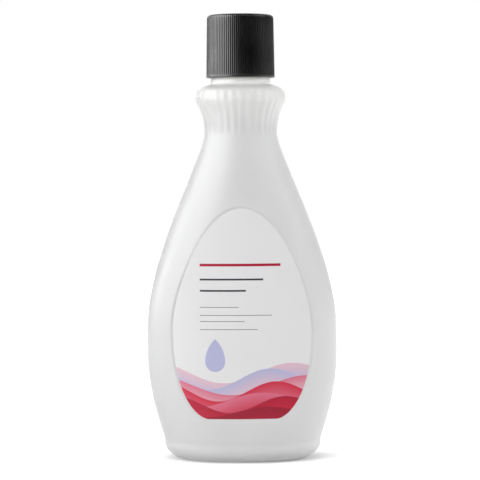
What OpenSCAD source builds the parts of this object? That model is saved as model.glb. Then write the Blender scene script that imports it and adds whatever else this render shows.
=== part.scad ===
// Oval squeeze bottle with a fluted collar, a teardrop label panel and a fine-ribbed screw cap.
// Front faces -Y, up is +Z, and the origin is the middle of the base on the surface it stands on.

/* [Body] */
// Width of the body at the belly
body_w = 67.4; // [62:0.1:76]
// Depth of the body at the belly, before the panels are cut
body_d = 41.7; // [41:0.1:44]
// Wall of the blown body
wall = 1.1; // [0.7:0.05:1.6]
// Squareness of the belly's cross-section, where 2 is an ellipse
belly_n = 2.45; // [2.3:0.05:2.8]
// Height of the belly's widest point above the foot band
belly_rise = 38.9; // [36:0.1:42]
// Height from the belly up to the waist under the collar
shoulder_rise = 69.1; // [66:0.1:80]

/* [Foot] */
// Width of the foot band
foot_w = 55.6; // [52:0.1:60]
// Depth of the foot band
foot_d = 39; // [36:0.1:40.5]
// Height of the foot band's top edge
foot_h = 7.3; // [6.8:0.1:9]
// Height of the rounded heel under the foot band
heel_h = 6.2; // [4.5:0.1:6.6]
// Reach of the heel in under the body
heel_in = 9; // [6:0.1:10.5]
// Width of the flat ring that the bottle stands on
stand_ring = 2.2; // [1.4:0.1:3]
// Height of the push-up in the middle of the base
push_up = 1.6; // [0.8:0.1:2.5]

/* [Collar] */
// Diameter of the waist
waist_d = 25.5; // [23:0.1:28]
// Diameter of the collar's bulge
bulge_d = 31.6; // [29.5:0.1:35]
// Height from the waist to the bulge
bulge_rise = 12.2; // [11:0.1:14]
// Height from the bulge to the foot of the neck
crown_rise = 4.85; // [4.4:0.05:6.5]
// Number of flutes round the collar
flutes = 32; // [24:1:40]
// Depth of each flute
flute_depth = 0.3; // [0.2:0.05:0.6]
// Length that the flutes run down past the waist
flute_drop = 1.4; // [0.8:0.1:3]

/* [Neck finish] */
// Diameter of the plain neck under the thread
neck_d = 20.8; // [20:0.1:21.2]
// Height of the plain neck under the thread
neck_h = 3.4; // [2.6:0.1:5]
// Height of the thread over the plain neck
thread_rise = 0.35; // [0.3:0.05:0.6]
// Height of the finish from the crown to the rim
finish_h = 20.9; // [19:0.1:24]
// Bore of the neck
bore_d = 16.5; // [14.5:0.1:17.5]
// Bevel round the rim
rim_bevel = 0.4; // [0.2:0.05:0.6]

/* [Cap] */
// Thickness of the cap's skirt at its bottom band
cap_wall = 1.2; // [1:0.05:1.6]
// Height of the cap
cap_h = 22; // [20.5:0.1:23]
// Thickness of the cap's top
cap_top = 1.65; // [1.1:0.05:2.2]
// Draft that the skirt loses in diameter from the band to the top
cap_draft = 0.6; // [0.2:0.05:0.7]
// Number of ribs round the cap
cap_ribs = 100; // [80:1:110]
// Depth of the grooves between the ribs
rib_depth = 0.35; // [0.2:0.05:0.4]
// Height of the smooth band under the ribs
band_h = 0.8; // [0.5:0.1:1.5]
// Rounding of the cap's top edge
cap_round = 1; // [0.5:0.1:1.4]
// Running clearance of the cap on the thread, on the radius
thread_gap = 0.1; // [0.05:0.01:0.1]

/* [Liner and pour plug] */
// Thickness of the foam liner in the cap
liner_t = 1.0; // [0.7:0.1:1.4]
// Clearance of the liner in the cap, on the radius
liner_gap = 0.25; // [0.15:0.05:0.5]
// Thickness of the pour plug's flange
flange_t = 0.8; // [0.6:0.1:1.2]
// Wall of the pour plug's skirt
plug_wall = 0.9; // [0.7:0.05:1.2]
// Depth of the pour plug in the neck
plug_h = 8.5; // [6:0.1:11]
// Clearance of the pour plug in the bore, on the radius
plug_gap = 0.05; // [0.02:0.01:0.1]
// Pouring hole in the plug
orifice_d = 4.6; // [4.2:0.1:5.5]
// Depth of the spout round the pouring hole
spout_h = 3.5; // [2:0.1:5]

/* [Label] */
// Width of the label
label_w = 48.2; // [42:0.1:51]
// Height of the label
label_h = 72.8; // [66:0.1:76]
// Height of the label's bottom edge
label_z = 16.6; // [15.5:0.1:20]
// Height of the label's widest point above its bottom edge
label_belly = 30.8; // [26:0.1:36]
// Length of the straight stretch of the label's bottom edge
label_flat = 23.4; // [18:0.1:28]
// Thickness of the label film
film_t = 0.15; // [0.08:0.01:0.25]
// Margin of the moulded panel round the label
panel_margin = 0.6; // [0.4:0.05:1.2]
// Radius of the panel from side to side
panel_r = 86; // [80:1:100]
// Depth of the panel from front to back, at half the label's height
panel_d = 38.3; // [37.6:0.1:38.8]
// Lean of the panel towards the neck, in degrees
panel_lean = 1.7; // [1.2:0.1:2.2]

/* [Hidden] */

cols = flutes * 3;                 // columns of the outer skin, three to a flute
inner_cols = 48;
waist_n = 2;                       // the collar and neck are round
rings_bulge = 8;
rings_shoulder = 13;
rings_belly = 7;
rings_heel = 4;
rings_crown = 4;
label_steps = 14;                  // points along each curve of the label's outline
halvings = 22;                     // steps of the search for a height on a curve
round_fn = 96;
hole_fn = 64;
push_up_steps = [[0, 0], [1.6, 0.75], [4, 1]];   // way in from the stand ring, and share of the push-up
band_taper = 0.1;                  // taper of the foot band on each side
flute_top_gap = 1.2;               // plain crown above the flutes
flute_top_fade = 2;                // length in which the flutes run out at the top
flute_end_fade = 1.3;              // length in which they run out at the waist
rib_corners = [0, 0.5, 0.62, 0.88];              // corners of a rib and its groove, in ribs
mouth_bevel = 0.4;                 // bevel inside the cap's mouth
plug_lead = [0.5, 1];              // lead-in at the plug's end: reach in and height
flange_inset = 0.2;                // how far the plug's flange stays back from the rim's edge
bury = 0.6;                        // overlap of the skin into the neck, so that they are one solid
through = 1;                       // how far a cut runs on past the face it opens
eps = 0.01;

belly_z = foot_h + belly_rise;
waist_z = belly_z + shoulder_rise;
bulge_z = waist_z + bulge_rise;
crown_z = bulge_z + crown_rise;
flute_z = waist_z - flute_drop;
rim_z = crown_z + finish_h;
flange_z = rim_z + flange_t;
liner_z = flange_z + liner_t;
cap_z = liner_z + cap_top - cap_h;
bore_r = bore_d / 2;
finish_d = neck_d + 2 * thread_rise;
cap_bore_r = finish_d / 2 + thread_gap;
cap_d = 2 * (cap_bore_r + cap_wall);
label_mid = label_z + label_h / 2;

// Pull of each curve at its ends: how far it runs on before it bends
bulge_pull = 2.4;
collar_pull = 8.3;
neck_pull = 7.6;
belly_pull = 25;
sag_pull = 10;
foot_pull = [6.8, 20.3];
side_neck_pull = 5.5;
side_belly_pull = 60;
side_sag_pull = 18;
side_foot_pull = [1.8, 6.5];
crown_pull = [2.8, 0.7, 3.6];
label_top_pull = 14;
label_side_pull = [12, 24.5];
label_corner_pull = 3.2;

// Silhouettes as cubic curves, each point [half size, height], from the bulge down to the foot.
collar_curve = [[bulge_d / 2, bulge_z], [bulge_d / 2, bulge_z - bulge_pull],
                [waist_d / 2, waist_z + collar_pull], [waist_d / 2, waist_z]];
front_curve = [
    collar_curve,
    [[waist_d / 2, waist_z], [waist_d / 2, waist_z - neck_pull],
     [body_w / 2, belly_z + belly_pull], [body_w / 2, belly_z]],
    [[body_w / 2, belly_z], [body_w / 2, belly_z - sag_pull],
     [foot_w / 2, foot_h] + foot_pull, [foot_w / 2, foot_h]]
];
side_curve = [
    collar_curve,
    [[waist_d / 2, waist_z], [waist_d / 2, waist_z - side_neck_pull],
     [body_d / 2, belly_z + side_belly_pull], [body_d / 2, belly_z]],
    [[body_d / 2, belly_z], [body_d / 2, belly_z - side_sag_pull],
     [foot_d / 2, foot_h] + side_foot_pull, [foot_d / 2, foot_h]]
];

// Point of a cubic curve at t
function bezier(p, t) = pow(1 - t, 3) * p[0] + 3 * pow(1 - t, 2) * t * p[1]
    + 3 * (1 - t) * t * t * p[2] + pow(t, 3) * p[3];

// Value of t at which a falling curve passes the height z
function t_at(p, z, lo = 0, hi = 1, left = halvings) = left == 0 ? (lo + hi) / 2
    : let (mid = (lo + hi) / 2)
      bezier(p, mid)[1] > z ? t_at(p, z, mid, hi, left - 1) : t_at(p, z, lo, mid, left - 1);

// Half size of a silhouette at the height z
function half_at(curve, z) =
    let (p = [for (q = curve) if (z <= q[0][1] + eps && z >= q[3][1] - eps) q][0])
    bezier(p, t_at(p, z))[0];

function mix(a, b, u) = a + (b - a) * u;
function ease(u) = let (v = min(1, max(0, u))) v * v * (3 - 2 * v);

// Squareness grows from the round waist to the belly
function n_at(z) = mix(belly_n, waist_n, ease((z - belly_z) / (waist_z - belly_z)));

// The flutes run out at both ends of the collar
function flute_at(z) = flute_depth * ease((crown_z - flute_top_gap - z) / flute_top_fade)
    * ease((z - flute_z) / flute_end_fade);

// One ring of the skin: half width, half depth, squareness, height and flute depth
function ring_points(r, count) = [
    for (k = [0 : count - 1])
        let (a = 360 * k / count, c = cos(a), s = sin(a), cut = k % 3 == 0 ? 0 : r[4])
        [(r[0] - cut) * sign(c) * pow(abs(c), 2 / r[2]), (r[1] - cut) * sign(s) * pow(abs(s), 2 / r[2]), r[3]]
];

// Rings from the crown to the middle of the base, moved in by the thickness t of the wall
function crown_rings(t, top_r) =
    let (p = [[top_r, crown_z - t], [bulge_d / 2 - crown_pull[0] - t, crown_z - crown_pull[1] - t],
              [bulge_d / 2 - t, bulge_z + crown_pull[2] - t / 2], [bulge_d / 2 - t, bulge_z]])
    [for (i = [0 : rings_crown]) let (q = bezier(p, i / (rings_crown + 1)))
        [q[0], q[0], waist_n, q[1], t > 0 ? 0 : flute_at(q[1])]];

function skin_heights() = concat(
    [for (i = [0 : rings_bulge]) mix(bulge_z, waist_z, i / rings_bulge)],
    [flute_z + flute_end_fade, flute_z],
    [for (i = [1 : rings_shoulder]) mix(flute_z, belly_z, i / rings_shoulder)],
    [for (i = [1 : rings_belly]) mix(belly_z, foot_h, i / rings_belly)]
);

function skin_rings(t) = [
    for (z = skin_heights())
        [half_at(front_curve, z) - t, half_at(side_curve, z) - t, n_at(z), z, t > 0 ? 0 : flute_at(z)]
];

// A ring of the foot, moved in from the foot band by d
function foot_ring(d, z) = [foot_w / 2 - band_taper - d, foot_d / 2 - band_taper - d, belly_n, z, 0];

function base_rings(t) = concat(
    [for (i = [0 : rings_heel]) let (a = 90 * i / rings_heel)
        foot_ring(heel_in * (1 - cos(a)) + t * cos(a), heel_h * (1 - sin(a)) + t * sin(a))],
    [for (q = push_up_steps) foot_ring(heel_in + stand_ring + q[0], push_up * q[1] + t)]
);

// A closed skin through rings that are listed from the top down
module loft(rings, count) {
    last = len(rings) - 1;
    points = [for (r = rings) each ring_points(r, count)];
    side_faces = [for (i = [0 : last - 1], k = [0 : count - 1])
        let (a = i * count + k, b = i * count + (k + 1) % count)
        each [[a, b, b + count], [a, b + count, a + count]]];
    top_face = [for (k = [count - 1 : -1 : 0]) k];
    base_face = [for (k = [0 : count - 1]) last * count + k];
    polyhedron(points, concat(side_faces, [top_face], [base_face]), convexity = 6);
}

// Teardrop outline of the label in x and height, grown by a margin m
function teardrop_half(m) =
    let (half = label_w / 2 + m, top = label_z + label_h + m, low = label_z - m,
         mid = label_z + label_belly, flat = label_flat / 2 + m / 2,
         crown = [[0, top], [label_top_pull, top], [half, mid + label_side_pull[0]], [half, mid]],
         heel = [[half, mid], [half, mid - label_side_pull[1]], [flat + label_corner_pull, low], [flat, low]])
    concat([for (i = [0 : label_steps - 1]) bezier(crown, i / label_steps)],
           [for (i = [0 : label_steps]) bezier(heel, i / label_steps)]);

function teardrop(m) =
    let (right = teardrop_half(m), last = len(right) - 1)
    concat(right, [for (i = [last : -1 : 1]) [-right[i][0], right[i][1]]]);

// The outline as a block that reaches through the front of the body
module panel_block(m) {
    translate([0, -body_d / 4, 0])
        rotate([90, 0, 0])
            linear_extrude(height = body_d / 2) polygon(teardrop(m));
}

// The panel's surface as a leaning round column, grown by g
module panel_column(g) {
    translate([0, -panel_d / 2, label_mid])
        rotate([-panel_lean, 0, 0])
            translate([0, panel_r, -label_h])
                cylinder(r = panel_r + g, h = 2 * label_h, $fn = 128);
}

// What the panel takes off the front of a body whose wall is moved in by t
module panel_cut(t) {
    difference() {
        panel_block(panel_margin + 2 * t);
        panel_column(-t);
    }
}

// The blown body's skin, moved in by t, with its front and back panels
module body_form(t, top_r, count) {
    difference() {
        loft(concat(crown_rings(t, top_r), skin_rings(t), base_rings(t)), count);
        panel_cut(t);
        mirror([0, 1, 0]) panel_cut(t);
    }
}

module bottle() {
    color([0.93, 0.93, 0.95]) difference() {
        union() {
            body_form(0, neck_d / 2 - bury, cols);
            translate([0, 0, crown_z - bury]) cylinder(d = neck_d, h = neck_h + 2 * bury, $fn = round_fn);
            translate([0, 0, crown_z + neck_h])
                cylinder(d = finish_d, h = finish_h - neck_h - rim_bevel, $fn = round_fn);
            translate([0, 0, rim_z - rim_bevel])
                cylinder(d1 = finish_d, d2 = finish_d - 2 * rim_bevel, h = rim_bevel, $fn = round_fn);
        }
        body_form(wall, bore_r - bury, inner_cols);
        translate([0, 0, crown_z - wall - bury / 2])
            cylinder(r = bore_r, h = finish_h + wall + bury, $fn = round_fn);
    }
}

module orifice_reducer() {
    plug_r = bore_r - plug_gap;
    color([0.96, 0.96, 0.97]) difference() {
        union() {
            translate([0, 0, rim_z])
                cylinder(r = finish_d / 2 - rim_bevel - flange_inset, h = flange_t, $fn = round_fn);
            translate([0, 0, rim_z - plug_h + plug_lead[1]])
                cylinder(r = plug_r, h = plug_h - plug_lead[1] + eps, $fn = round_fn);
            translate([0, 0, rim_z - plug_h])
                cylinder(r1 = plug_r - plug_lead[0], r2 = plug_r, h = plug_lead[1], $fn = round_fn);
        }
        difference() {
            translate([0, 0, rim_z - plug_h - through])
                cylinder(r = plug_r - plug_wall, h = plug_h + through, $fn = round_fn);
            translate([0, 0, rim_z - spout_h])
                cylinder(d = orifice_d + 2 * plug_wall, h = spout_h + through, $fn = hole_fn);
        }
        translate([0, 0, rim_z - plug_h])
            cylinder(d = orifice_d, h = plug_h + flange_t + through, $fn = hole_fn);
    }
}

module front_label() {
    color([0.97, 0.96, 0.97]) difference() {
        intersection() {
            panel_block(0);
            panel_column(film_t);
        }
        panel_column(0);
    }
}

module cap_liner() {
    color([0.95, 0.95, 0.93])
        translate([0, 0, flange_z]) cylinder(r = cap_bore_r - liner_gap, h = liner_t, $fn = round_fn);
}

// Outline of the ribbed skirt, four corners to a rib
function rib_outline() = [
    for (i = [0 : cap_ribs - 1], s = [0 : 3])
        let (a = 360 / cap_ribs * (i + rib_corners[s]), r = cap_d / 2 - (s < 2 ? 0 : rib_depth))
        [r * cos(a), r * sin(a)]
];

// Outer form of the cap as a turned profile with its top edge rounded
module cap_turning() {
    top_r = (cap_d - cap_draft) / 2;
    rotate_extrude($fn = round_fn)
        polygon(concat(
            [[0, 0], [cap_d / 2, 0], [cap_d / 2, band_h]],
            [for (a = [0 : 15 : 90]) [top_r - cap_round * (1 - cos(a)), cap_h - cap_round * (1 - sin(a))]],
            [[0, cap_h]]
        ));
}

module cap() {
    color([0.13, 0.12, 0.12]) translate([0, 0, cap_z]) difference() {
        intersection() {
            cap_turning();
            union() {
                cylinder(r = cap_d, h = band_h, $fn = round_fn);
                translate([0, 0, band_h / 2])
                    linear_extrude(height = cap_h, scale = 1 - cap_draft / cap_d) polygon(rib_outline());
            }
        }
        translate([0, 0, -through]) cylinder(r = cap_bore_r, h = cap_h - cap_top + through, $fn = round_fn);
        translate([0, 0, -eps])
            cylinder(r1 = cap_bore_r + mouth_bevel, r2 = cap_bore_r, h = mouth_bevel, $fn = round_fn);
    }
}

bottle();
orifice_reducer();
front_label();
cap_liner();
cap();
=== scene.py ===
"""Oval squeeze bottle with a fluted collar, a teardrop label and a fine-ribbed screw cap."""
import math

import bmesh
import bpy
import numpy as np
from bpy.props import FloatProperty, FloatVectorProperty, IntProperty, PointerProperty
from mathutils import Euler, Matrix, Vector


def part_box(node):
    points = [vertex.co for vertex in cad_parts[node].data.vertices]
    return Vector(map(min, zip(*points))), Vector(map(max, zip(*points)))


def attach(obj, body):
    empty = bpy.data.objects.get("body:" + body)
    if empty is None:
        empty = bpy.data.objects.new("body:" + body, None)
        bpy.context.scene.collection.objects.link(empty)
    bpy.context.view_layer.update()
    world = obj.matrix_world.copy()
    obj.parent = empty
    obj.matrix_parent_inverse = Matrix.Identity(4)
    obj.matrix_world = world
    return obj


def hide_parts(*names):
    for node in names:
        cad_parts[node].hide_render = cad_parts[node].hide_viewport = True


bl_info = {
    "name": "Squeeze bottle",
    "version": (1, 0, 0),
    "blender": (4, 5, 0),
    "location": "View3D > Sidebar > Bottle",
    "description": "Dresses the squeeze bottle, its label and its screw cap",
    "category": "Add Mesh",
}

MM = 0.001
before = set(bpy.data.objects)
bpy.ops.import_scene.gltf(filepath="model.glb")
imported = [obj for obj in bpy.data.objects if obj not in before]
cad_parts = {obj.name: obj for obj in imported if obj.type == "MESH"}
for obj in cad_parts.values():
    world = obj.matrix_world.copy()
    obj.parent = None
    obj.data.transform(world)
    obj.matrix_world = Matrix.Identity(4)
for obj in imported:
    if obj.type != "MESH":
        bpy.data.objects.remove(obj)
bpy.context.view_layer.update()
BOTTLE_LOW, BOTTLE_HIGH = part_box("bottle")
CAP_LOW, CAP_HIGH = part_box("cap")
LABEL_LOW, LABEL_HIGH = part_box("front_label")


def length(name, description, mm):
    """A size that a user may change, given in millimetres and kept in metres."""
    return FloatProperty(name=name, description=description, default=mm * MM, unit="LENGTH", precision=5)


def angle(name, description, radians):
    """An angle that a user may change."""
    return FloatProperty(name=name, description=description, default=radians, subtype="ANGLE", precision=4)


def power(name, description, watts):
    """A lamp's power that a user may change."""
    return FloatProperty(name=name, description=description, default=watts, min=0, unit="POWER")


def colour(name, description, value):
    """A colour that a user may change."""
    return FloatVectorProperty(name=name, description=description, default=value, size=3,
                               subtype="COLOR", min=0, max=1)


class BodySizes(bpy.types.PropertyGroup):
    """The blown body, from the base to the neck."""
    width: length("Width", "Width at the belly", 67.4)
    depth: length("Depth", "Depth at the belly, before the panels are let in", 41.7)
    wall: length("Wall", "Wall of the blown body", 1.1)
    squareness: FloatProperty(name="Squareness", description="Exponent of the belly's section, 2 is an oval",
                              default=2.45, min=2, max=3)
    foot_width: length("Foot width", "Width of the foot band", 55.6)
    foot_depth: length("Foot depth", "Depth of the foot band", 39)
    foot_height: length("Foot height", "Height of the foot band's top edge", 7.3)
    heel_height: length("Heel height", "Height of the rounded heel", 6.2)
    heel_reach: length("Heel reach", "Reach of the heel in under the body", 9)
    stand_ring: length("Stand ring", "Width of the flat ring it stands on", 2.2)
    push_up: length("Push-up", "Height of the push-up in the base", 1.6)
    belly_height: length("Belly height", "Height of the widest point", 46.2)
    waist_height: length("Waist height", "Height of the waist under the collar", 115.3)
    waist_diameter: length("Waist", "Diameter of the waist", 25.5)
    bulge_height: length("Bulge height", "Height of the collar's bulge", 127.5)
    bulge_diameter: length("Bulge", "Diameter of the collar's bulge", 31.6)
    crown_height: length("Crown height", "Height of the foot of the neck", 132.35)
    flutes: IntProperty(name="Flutes", description="Number of flutes round the collar", default=32, min=3)
    flute_depth: length("Flute depth", "Depth of each flute", 0.3)
    flute_drop: length("Flute drop", "How far the flutes run down past the waist", 1.4)
    parting_line: length("Parting line", "How far the mould's parting line stands out", 0.05)


class NeckSizes(bpy.types.PropertyGroup):
    """The neck finish, its bore and its thread."""
    diameter: length("Neck", "Diameter of the plain neck under the thread", 20.8)
    height: length("Neck height", "Height of the plain neck above the crown", 4.3)
    root: length("Thread root", "Diameter of the neck between the thread's turns", 19.6)
    crest: length("Thread crest", "Diameter over the thread", 21.5)
    lead: length("Lead", "Rise of the thread in one turn", 3.175)
    turns: FloatProperty(name="Turns", description="Turns of the thread", default=2.25, min=1, max=3)
    top_gap: length("Top gap", "Plain land above the thread", 2.0)
    bore: length("Bore", "Bore of the neck", 16.5)
    bevel: length("Bevel", "Rounding of the rim's outer edge", 0.4)
    mouth_bevel: length("Mouth bevel", "Bevel of the rim's inner edge", 0.2)


class CapSizes(bpy.types.PropertyGroup):
    """The screw cap."""
    top: length("Top", "Thickness of the cap's top", 1.5)
    draft: length("Draft", "Diameter that the skirt loses up to the top", 0.7)
    ribs: IntProperty(name="Ribs", description="Number of ribs round the cap", default=100, min=10)
    rib_depth: length("Rib depth", "Depth of the grooves between the ribs", 0.26)
    band: length("Band", "Height of the smooth band under the ribs", 0.8)
    edge: length("Edge", "Rounding of the top edge", 1.3)
    bore: length("Bore", "Bore of the skirt", 21.7)
    thread: length("Thread", "Height of the thread inside the skirt", 0.85)


class LabelSizes(bpy.types.PropertyGroup):
    """The teardrop panel and the film label on it."""
    belly: length("Widest point", "Height of the widest point above the bottom edge", 30.8)
    flat: length("Straight edge", "Length of the straight bottom edge", 23.4)
    film: length("Film", "Thickness of the label film", 0.06)
    margin: length("Margin", "Margin of the moulded panel round the label", 0.6)
    radius: length("Panel radius", "Radius of the panel from side to side", 86)
    depth: length("Panel depth", "Depth from panel to panel at half the label's height", 38.3)
    lean: angle("Lean", "Lean of the panel towards the neck", math.radians(1.7))
    edge: length("Panel edge", "Half width of the panel's rounded edge", 0.7)


class Finishes(bpy.types.PropertyGroup):
    """Colours of the plastics and the print."""
    body: colour("Body", "Natural plastic where the liquid stands behind it", (0.80, 0.798, 0.802))
    headspace: colour("Headspace", "Natural plastic above the liquid", (0.945, 0.94, 0.915))
    cap: colour("Cap", "Black plastic of the cap", (0.002, 0.0018, 0.0018))
    film: colour("Film", "Ground of the label", (0.865, 0.86, 0.868))
    plug: colour("Plug", "White plastic of the pour plug", (0.85, 0.85, 0.86))
    foam: colour("Foam", "Foam of the liner", (0.8, 0.8, 0.77))
    deep_red: colour("Deep red", "Darkest red of the print", (0.30, 0.006, 0.025))
    red: colour("Red", "Strong red of the print", (0.42, 0.008, 0.035))
    bright_red: colour("Bright red", "Bright red of the print", (0.62, 0.02, 0.05))
    pink: colour("Pink", "Pink of the print", (0.72, 0.17, 0.26))
    pale_pink: colour("Pale pink", "Palest pink of the print", (0.80, 0.55, 0.62))
    lavender: colour("Lavender", "Lavender of the print", (0.49, 0.50, 0.73))
    ink: colour("Ink", "Dark ink of the printed rules", (0.03, 0.03, 0.035))
    liquid_level: length("Liquid level", "Height of the liquid in the collar", 121)
    level_fade: length("Level fade", "Height over which the tone changes there", 9)


class Studio(bpy.types.PropertyGroup):
    """Camera, lamps and ground."""
    distance: length("Distance", "Camera from the object's axis", 640)
    eye: length("Eye height", "Height of the camera", 116.5)
    side: length("Side", "Camera to the right of the axis", -0.56)
    pitch: angle("Pitch", "Camera looks down by", 0.061)
    roll: angle("Roll", "Camera rolls by", -0.0066)
    lens: FloatProperty(name="Lens", description="Focal length in millimetres", default=135.6, unit="CAMERA")
    key: power("Key", "Lamp on the left", 2.3)
    front: power("Front", "Lamp beside the camera", 2.7)
    right: power("Right", "Lamp on the right", 4.9)
    side_light: power("Side light", "Lamp behind on the left", 0.5)
    back: power("Back", "Lamp behind the object", 3.6)
    ground: colour("Ground", "Colour of the floor", (0.67, 0.67, 0.67))
    # Weak near the object, the ground's glow leaves a painted shadow round the foot; further out it makes the
    # floor evenly white.
    ground_glow_and_painted_shadow: FloatVectorProperty(
        name="Ground glow", description="Light of the ground where it is seen, from the object outwards",
        default=(0.20, 0.70, 0.80, 1.05), size=4)


# How far each silhouette runs on before it bends, at the ends of its curves
BULGE_PULL, COLLAR_PULL = 2.4 * MM, 8.3 * MM
FRONT_PULLS = {"neck": 7.6 * MM, "belly": 25 * MM, "sag": 10 * MM, "foot": np.array([6.8, 20.3]) * MM}
SIDE_PULLS = {"neck": 5.5 * MM, "belly": 60 * MM, "sag": 18 * MM, "foot": np.array([1.8, 6.5]) * MM}
CROWN_PULLS = np.array([2.8, 0.7, 3.6]) * MM
LABEL_TOP_PULL, LABEL_CORNER_PULL = 14 * MM, 3.2 * MM
LABEL_SIDE_PULLS = np.array([12, 24.5]) * MM
# Points along a silhouette, along a curve of the label's outline and along its straight edge
CURVE_POINTS, OUTLINE_POINTS, EDGE_POINTS = 400, 120, 40
# The flutes' distance from the crown, and the heights over which they fade in at the top and at the waist
FLUTE_FADES = {"crown": 1.2 * MM, "top": 2.0 * MM, "waist": 3.0 * MM}
FRONT_TURN = 1.5 * math.pi  # direction of the front, -Y, measured from +X
HALF_COLUMNS = 128          # columns of the skin on the front half, and as many on the back
SIDE_SPOKES = 88            # spokes that leave each side of the panel's outline
# Rings of points over each stretch of the bottle and its label
RINGS = {"base": 6, "push_up": 13, "heel": 18, "panel": 11, "round_panel": 22, "collar": 36, "crown": 21,
         "bore": 8, "inner_crown": 7, "inner_side": 43, "film": 24, "film_back": 11}


def cubic(points, count):
    """That many points along the cubic curve of four points."""
    t = np.linspace(0, 1, count)[:, None]
    a, b, c, d = np.asarray(points, float)
    return (1 - t)**3 * a + 3 * (1 - t)**2 * t * b + 3 * (1 - t) * t * t * c + t**3 * d


def ease(value):
    """Smooth step from 0 to 1."""
    v = np.clip(value, 0, 1)
    return v * v * (3 - 2 * v)


def oval(turns, wide, deep, exponent):
    """Distance from the axis to an oval with those half sizes, in the directions turns."""
    return (np.abs(np.cos(turns) / wide)**exponent + np.abs(np.sin(turns) / deep)**exponent)**(-1 / exponent)


class Skin:
    """The body's outer form: its silhouettes, section, flutes and panels."""

    def __init__(self, scene):
        self.body, self.neck, self.label = scene.body_sizes, scene.neck_sizes, scene.label_sizes
        body = self.body
        self.front = self.silhouette(body.width / 2, body.foot_width / 2, FRONT_PULLS)
        self.side = self.silhouette(body.depth / 2, body.foot_depth / 2, SIDE_PULLS)
        self.collar_foot = body.waist_height - body.flute_drop
        self.low, self.top = LABEL_LOW.z, LABEL_HIGH.z
        self.half_label = (LABEL_HIGH.x - LABEL_LOW.x) / 2

    def silhouette(self, belly, foot, pulls):
        """(heights, half sizes) from the foot band up to the bulge."""
        b = self.body
        waist, bulge = b.waist_diameter / 2, b.bulge_diameter / 2
        curves = [
            [[foot, b.foot_height], np.array([foot, b.foot_height]) + pulls["foot"],
             [belly, b.belly_height - pulls["sag"]], [belly, b.belly_height]],
            [[belly, b.belly_height], [belly, b.belly_height + pulls["belly"]],
             [waist, b.waist_height - pulls["neck"]], [waist, b.waist_height]],
            [[waist, b.waist_height], [waist, b.waist_height + COLLAR_PULL],
             [bulge, b.bulge_height - BULGE_PULL], [bulge, b.bulge_height]],
        ]
        points = np.vstack([cubic(c, CURVE_POINTS) for c in curves])
        return points[:, 1], points[:, 0]

    def halves(self, z):
        """Half width and half depth at the height z."""
        return np.interp(z, *self.front), np.interp(z, *self.side)

    def exponent(self, z):
        """Squareness at the height z, which is 2 at the round waist."""
        b = self.body
        up = (z - b.belly_height) / (b.waist_height - b.belly_height)
        return b.squareness + (2 - b.squareness) * ease(up)

    def radius(self, turn, z):
        """Distance of the skin from the axis, in the direction turn at the height z, without flutes."""
        return oval(turn, *self.halves(z), self.exponent(z))

    def flute(self, turn, z):
        """Depth of the flutes, which run out at both ends of the collar."""
        b = self.body
        run = ease((b.crown_height - FLUTE_FADES["crown"] - z) / FLUTE_FADES["top"]) * ease(
            (z - self.collar_foot) / FLUTE_FADES["waist"])
        return b.flute_depth * run * np.sin(turn * b.flutes / 2)**2

    def body_y(self, x, z):
        """Y of the body's front at x and the height z, before the panel is let in."""
        wide, deep = self.halves(z)
        n = self.exponent(z)
        return -deep * (1 - np.minimum(np.abs(x / wide), 1)**n)**(1 / n)

    def panel_y(self, x, z):
        """Y of the panel's leaning round surface."""
        p = self.label
        middle = (self.low + self.top) / 2
        bow = p.radius - np.sqrt(p.radius**2 - x * x)
        return -p.depth / 2 + (bow + (z - middle) * math.sin(p.lean)) / math.cos(p.lean)

    def inset_y(self, x, z):
        """Y of the skin inside the panel's outline: the panel where it lies behind the body's surface."""
        return np.maximum(self.body_y(x, z), self.panel_y(x, z))

    def teardrop(self, margin):
        """Closed outline in x and height, anticlockwise from the middle of its bottom edge."""
        p = self.label
        half, top, low = self.half_label + margin, self.top + margin, self.low - margin
        middle, flat = self.low + p.belly, p.flat / 2 + margin / 2
        heel = cubic([[flat, low], [flat + LABEL_CORNER_PULL, low], [half, middle - LABEL_SIDE_PULLS[1]],
                      [half, middle]], OUTLINE_POINTS)
        crown = cubic([[half, middle], [half, middle + LABEL_SIDE_PULLS[0]],
                       [LABEL_TOP_PULL, top], [0, top]], OUTLINE_POINTS)
        bottom = np.column_stack([np.linspace(0, flat, EDGE_POINTS), np.full(EDGE_POINTS, low)])
        right = np.vstack([bottom[:-1], heel[:-1], crown])
        left = right[-2:0:-1] * [-1, 1]
        return np.vstack([right, left, right[:1]])


def spokes(outline):
    """Points and outward normals round an outline, spaced evenly between its four diagonal corners."""
    step = np.diff(outline, axis=0)
    run = np.concatenate([[0], np.cumsum(np.hypot(*step.T))])
    middles = (run[1:] + run[:-1]) / 2
    heading = np.unwrap(np.arctan2(step[:, 1], step[:, 0]))
    corners = [np.interp(math.radians(a), heading, middles) for a in (45, 135, 225, 315)]
    marks = [corners[3] - run[-1], *corners]
    counts = [HALF_COLUMNS, SIDE_SPOKES] * 2
    stretches = [np.linspace(a, b, n, endpoint=False) for a, b, n in zip(marks, marks[1:], counts)]
    places = np.concatenate(stretches) % run[-1]
    points = np.column_stack([np.interp(places, run, outline[:, i]) for i in (0, 1)])
    along = np.roll(points, -1, axis=0) - np.roll(points, 1, axis=0)
    normal = np.column_stack([along[:, 1], -along[:, 0]]) / np.hypot(*along.T)[:, None]
    return points, normal


def new_object(name, data):
    """An object in the scene with that mesh, lamp or camera."""
    thing = bpy.data.objects.new(name, data)
    bpy.context.scene.collection.objects.link(thing)
    return thing


MERGE_GAP = 0.0002 * MM     # points closer than this are one point
SHARP_ANGLE = 50            # degrees between two faces from which their edge is a crease


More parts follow.
